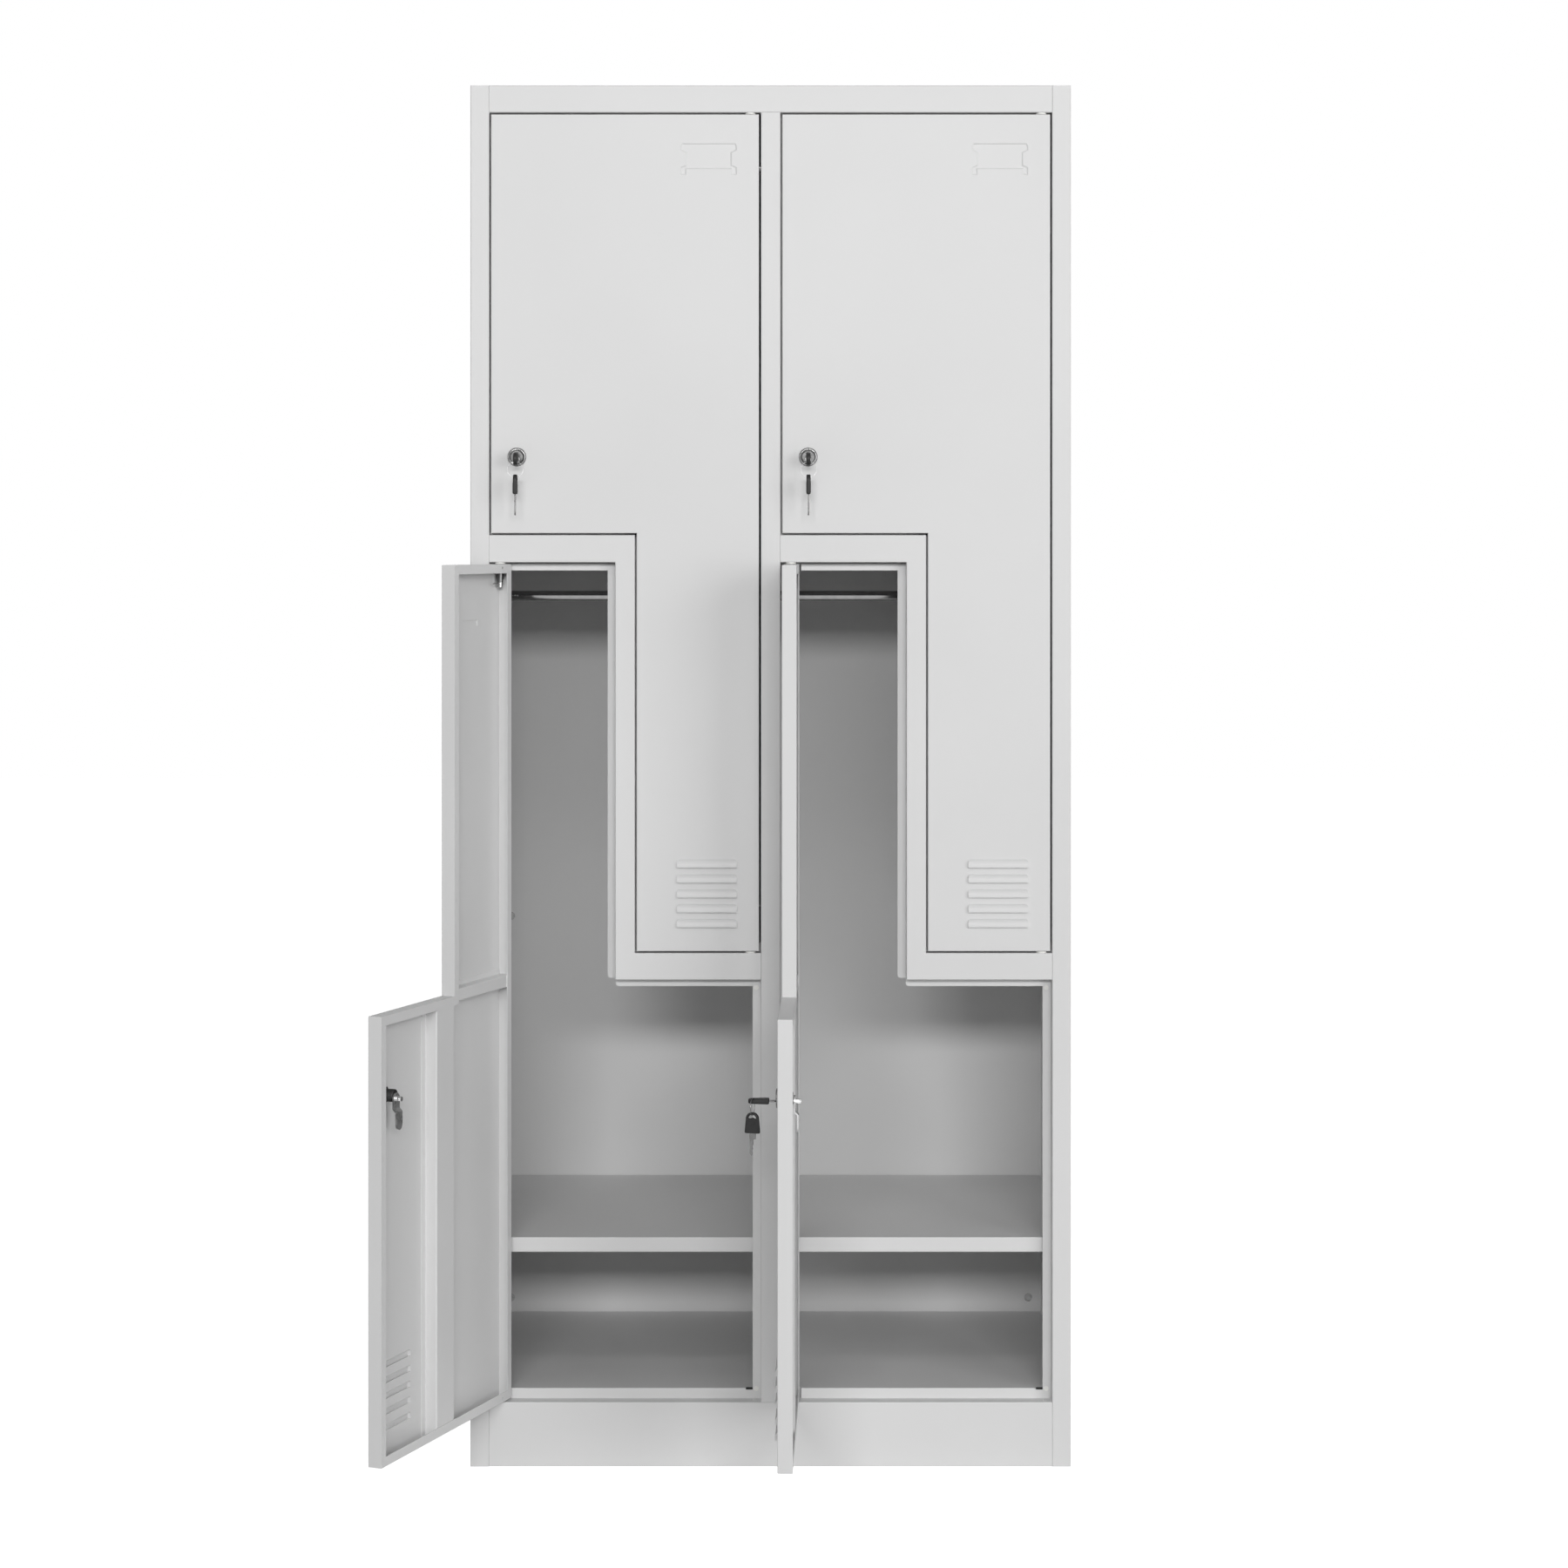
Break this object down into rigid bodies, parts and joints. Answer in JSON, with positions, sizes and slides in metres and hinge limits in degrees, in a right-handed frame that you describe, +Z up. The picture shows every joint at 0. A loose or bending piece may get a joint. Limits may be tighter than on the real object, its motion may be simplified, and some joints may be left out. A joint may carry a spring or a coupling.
{
  "type": "z locker",
  "caption": "Steel locker whose columns are split by a Z-shaped frame into upper and lower L-shaped compartments, each with its own locking, louvred door.",
  "frame": {"origin": "centre of the carcass footprint on the floor", "axes": "+X to the right as seen from the front, +Y from the front to the back, +Z up"},
  "size_m": [0.8986, 0.7877, 1.84],
  "materials": {
    "painted_steel": "satin light grey powder coat",
    "bright_steel": "zinc plated",
    "dark_steel": "black zinc",
    "chrome": "polished",
    "black_plastic": "moulded, fine grain",
    "nylon": "natural",
    "rubber": "matt"
  },
  "bodies": {
    "carcass": {"side_panel_left": "painted_steel", "side_panel_right": "painted_steel", "back_panel_left": "painted_steel", "back_panel_right": "painted_steel", "top_panel": "painted_steel", "base_panel": "painted_steel", "base_support": "painted_steel", "centre_partition": "painted_steel", "z_frame_left": "painted_steel", "z_frame_right": "painted_steel", "divider_left": "painted_steel", "divider_right": "painted_steel", "shelf_left": "painted_steel", "shelf_right": "painted_steel", "hanging_rails": "chrome", "rail_cups": "bright_steel", "stop_strips": "painted_steel", "hinge_bushings": "nylon", "door_buffers": "nylon", "lip_pads": "rubber", "back_bolts": "bright_steel"},
    "upper_left_door_leaf": {"upper_left_door": "painted_steel", "upper_left_stiffeners": "painted_steel", "upper_left_pin_bracket": "dark_steel", "upper_left_lock_case": "dark_steel"},
    "upper_right_door_leaf": {"upper_right_door": "painted_steel", "upper_right_stiffeners": "painted_steel", "upper_right_pin_bracket": "dark_steel", "upper_right_lock_case": "dark_steel"},
    "lower_left_door_leaf": {"lower_left_door": "painted_steel", "lower_left_stiffeners": "painted_steel", "lower_left_pin_bracket": "dark_steel", "lower_left_lock_case": "dark_steel"},
    "lower_right_door_leaf": {"lower_right_door": "painted_steel", "lower_right_stiffeners": "painted_steel", "lower_right_pin_bracket": "dark_steel", "lower_right_lock_case": "dark_steel"},
    "upper_left_lock": {"upper_left_lock_plug": "bright_steel", "upper_left_lock_cam": "bright_steel", "upper_left_key": "black_plastic", "upper_left_key_ring": "bright_steel"},
    "upper_left_spare": {"upper_left_spare_key": "black_plastic"},
    "upper_left_pin": {"upper_left_spring_pin": "bright_steel"},
    "upper_right_lock": {"upper_right_lock_plug": "bright_steel", "upper_right_lock_cam": "bright_steel", "upper_right_key": "black_plastic", "upper_right_key_ring": "bright_steel"},
    "upper_right_spare": {"upper_right_spare_key": "black_plastic"},
    "upper_right_pin": {"upper_right_spring_pin": "bright_steel"},
    "lower_left_lock": {"lower_left_lock_plug": "bright_steel", "lower_left_lock_cam": "bright_steel"},
    "lower_left_pin": {"lower_left_spring_pin": "bright_steel"},
    "lower_right_lock": {"lower_right_lock_plug": "bright_steel", "lower_right_lock_cam": "bright_steel", "lower_right_key": "black_plastic", "lower_right_key_ring": "bright_steel"},
    "lower_right_spare": {"lower_right_spare_key": "black_plastic"},
    "lower_right_pin": {"lower_right_spring_pin": "bright_steel"}
  },
  "joints": [
    {"name": "door_upper_left", "type": "hinge", "parent": "carcass", "child": "upper_left_door_leaf", "pos_m": [-0.027, -0.217, 1], "axis": [0, 0, 1], "range_deg": [0, 95]},
    {"name": "door_upper_right", "type": "hinge", "parent": "carcass", "child": "upper_right_door_leaf", "pos_m": [0.361, -0.217, 1], "axis": [0, 0, 1], "range_deg": [0, 120]},
    {"name": "door_lower_left", "type": "hinge", "parent": "carcass", "child": "lower_left_door_leaf", "pos_m": [-0.361, -0.217, 1], "axis": [0, 0, 1], "range_deg": [-8, 112.2]},
    {"name": "door_lower_right", "type": "hinge", "parent": "carcass", "child": "lower_right_door_leaf", "pos_m": [0.027, -0.217, 1], "axis": [0, 0, 1], "range_deg": [-3.5, 92]},
    {"name": "lock_upper_left", "type": "hinge", "parent": "upper_left_door_leaf", "child": "upper_left_lock", "pos_m": [-0.338, -0.225, 1.3416], "axis": [0, 1, 0], "range_deg": [0, 90]},
    {"name": "lock_upper_right", "type": "hinge", "parent": "upper_right_door_leaf", "child": "upper_right_lock", "pos_m": [0.05, -0.225, 1.3416], "axis": [0, 1, 0], "range_deg": [0, 90]},
    {"name": "lock_lower_left", "type": "hinge", "parent": "lower_left_door_leaf", "child": "lower_left_lock", "pos_m": [-0.48591, -0.50192, 0.5401], "axis": [-0.9259, 0.3778, 0], "range_deg": [0, 90]},
    {"name": "lock_lower_right", "type": "hinge", "parent": "lower_right_door_leaf", "child": "lower_right_lock", "pos_m": [0.00815, -0.52753, 0.5401], "axis": [-0.9994, 0.0349, 0], "range_deg": [0, 90]},
    {"name": "pin_upper_left", "type": "slide", "parent": "upper_left_door_leaf", "child": "upper_left_pin", "axis": [0, 0, 1], "range_m": [-0.008, 0], "stiffness_N_per_m": 500, "springref_m": 0.004},
    {"name": "pin_upper_right", "type": "slide", "parent": "upper_right_door_leaf", "child": "upper_right_pin", "axis": [0, 0, 1], "range_m": [-0.008, 0], "stiffness_N_per_m": 500, "springref_m": 0.004},
    {"name": "pin_lower_left", "type": "slide", "parent": "lower_left_door_leaf", "child": "lower_left_pin", "axis": [0, 0, 1], "range_m": [-0.008, 0], "stiffness_N_per_m": 500, "springref_m": 0.004},
    {"name": "pin_lower_right", "type": "slide", "parent": "lower_right_door_leaf", "child": "lower_right_pin", "axis": [0, 0, 1], "range_m": [-0.008, 0], "stiffness_N_per_m": 500, "springref_m": 0.004},
    {"name": "spare_upper_left", "type": "hinge", "parent": "upper_left_lock", "child": "upper_left_spare", "pos_m": [-0.338, -0.2553, 1.31701], "axis": [-1, 0, 0], "range_deg": [-20, 20]},
    {"name": "spare_upper_right", "type": "hinge", "parent": "upper_right_lock", "child": "upper_right_spare", "pos_m": [0.05, -0.2553, 1.31701], "axis": [-1, 0, 0], "range_deg": [-20, 20]},
    {"name": "spare_lower_right", "type": "hinge", "parent": "lower_right_lock", "child": "lower_right_spare", "pos_m": [-0.02363, -0.53249, 0.523], "axis": [-0.2419, -0.9703, 0], "range_deg": [-20, 20]}
  ]
}
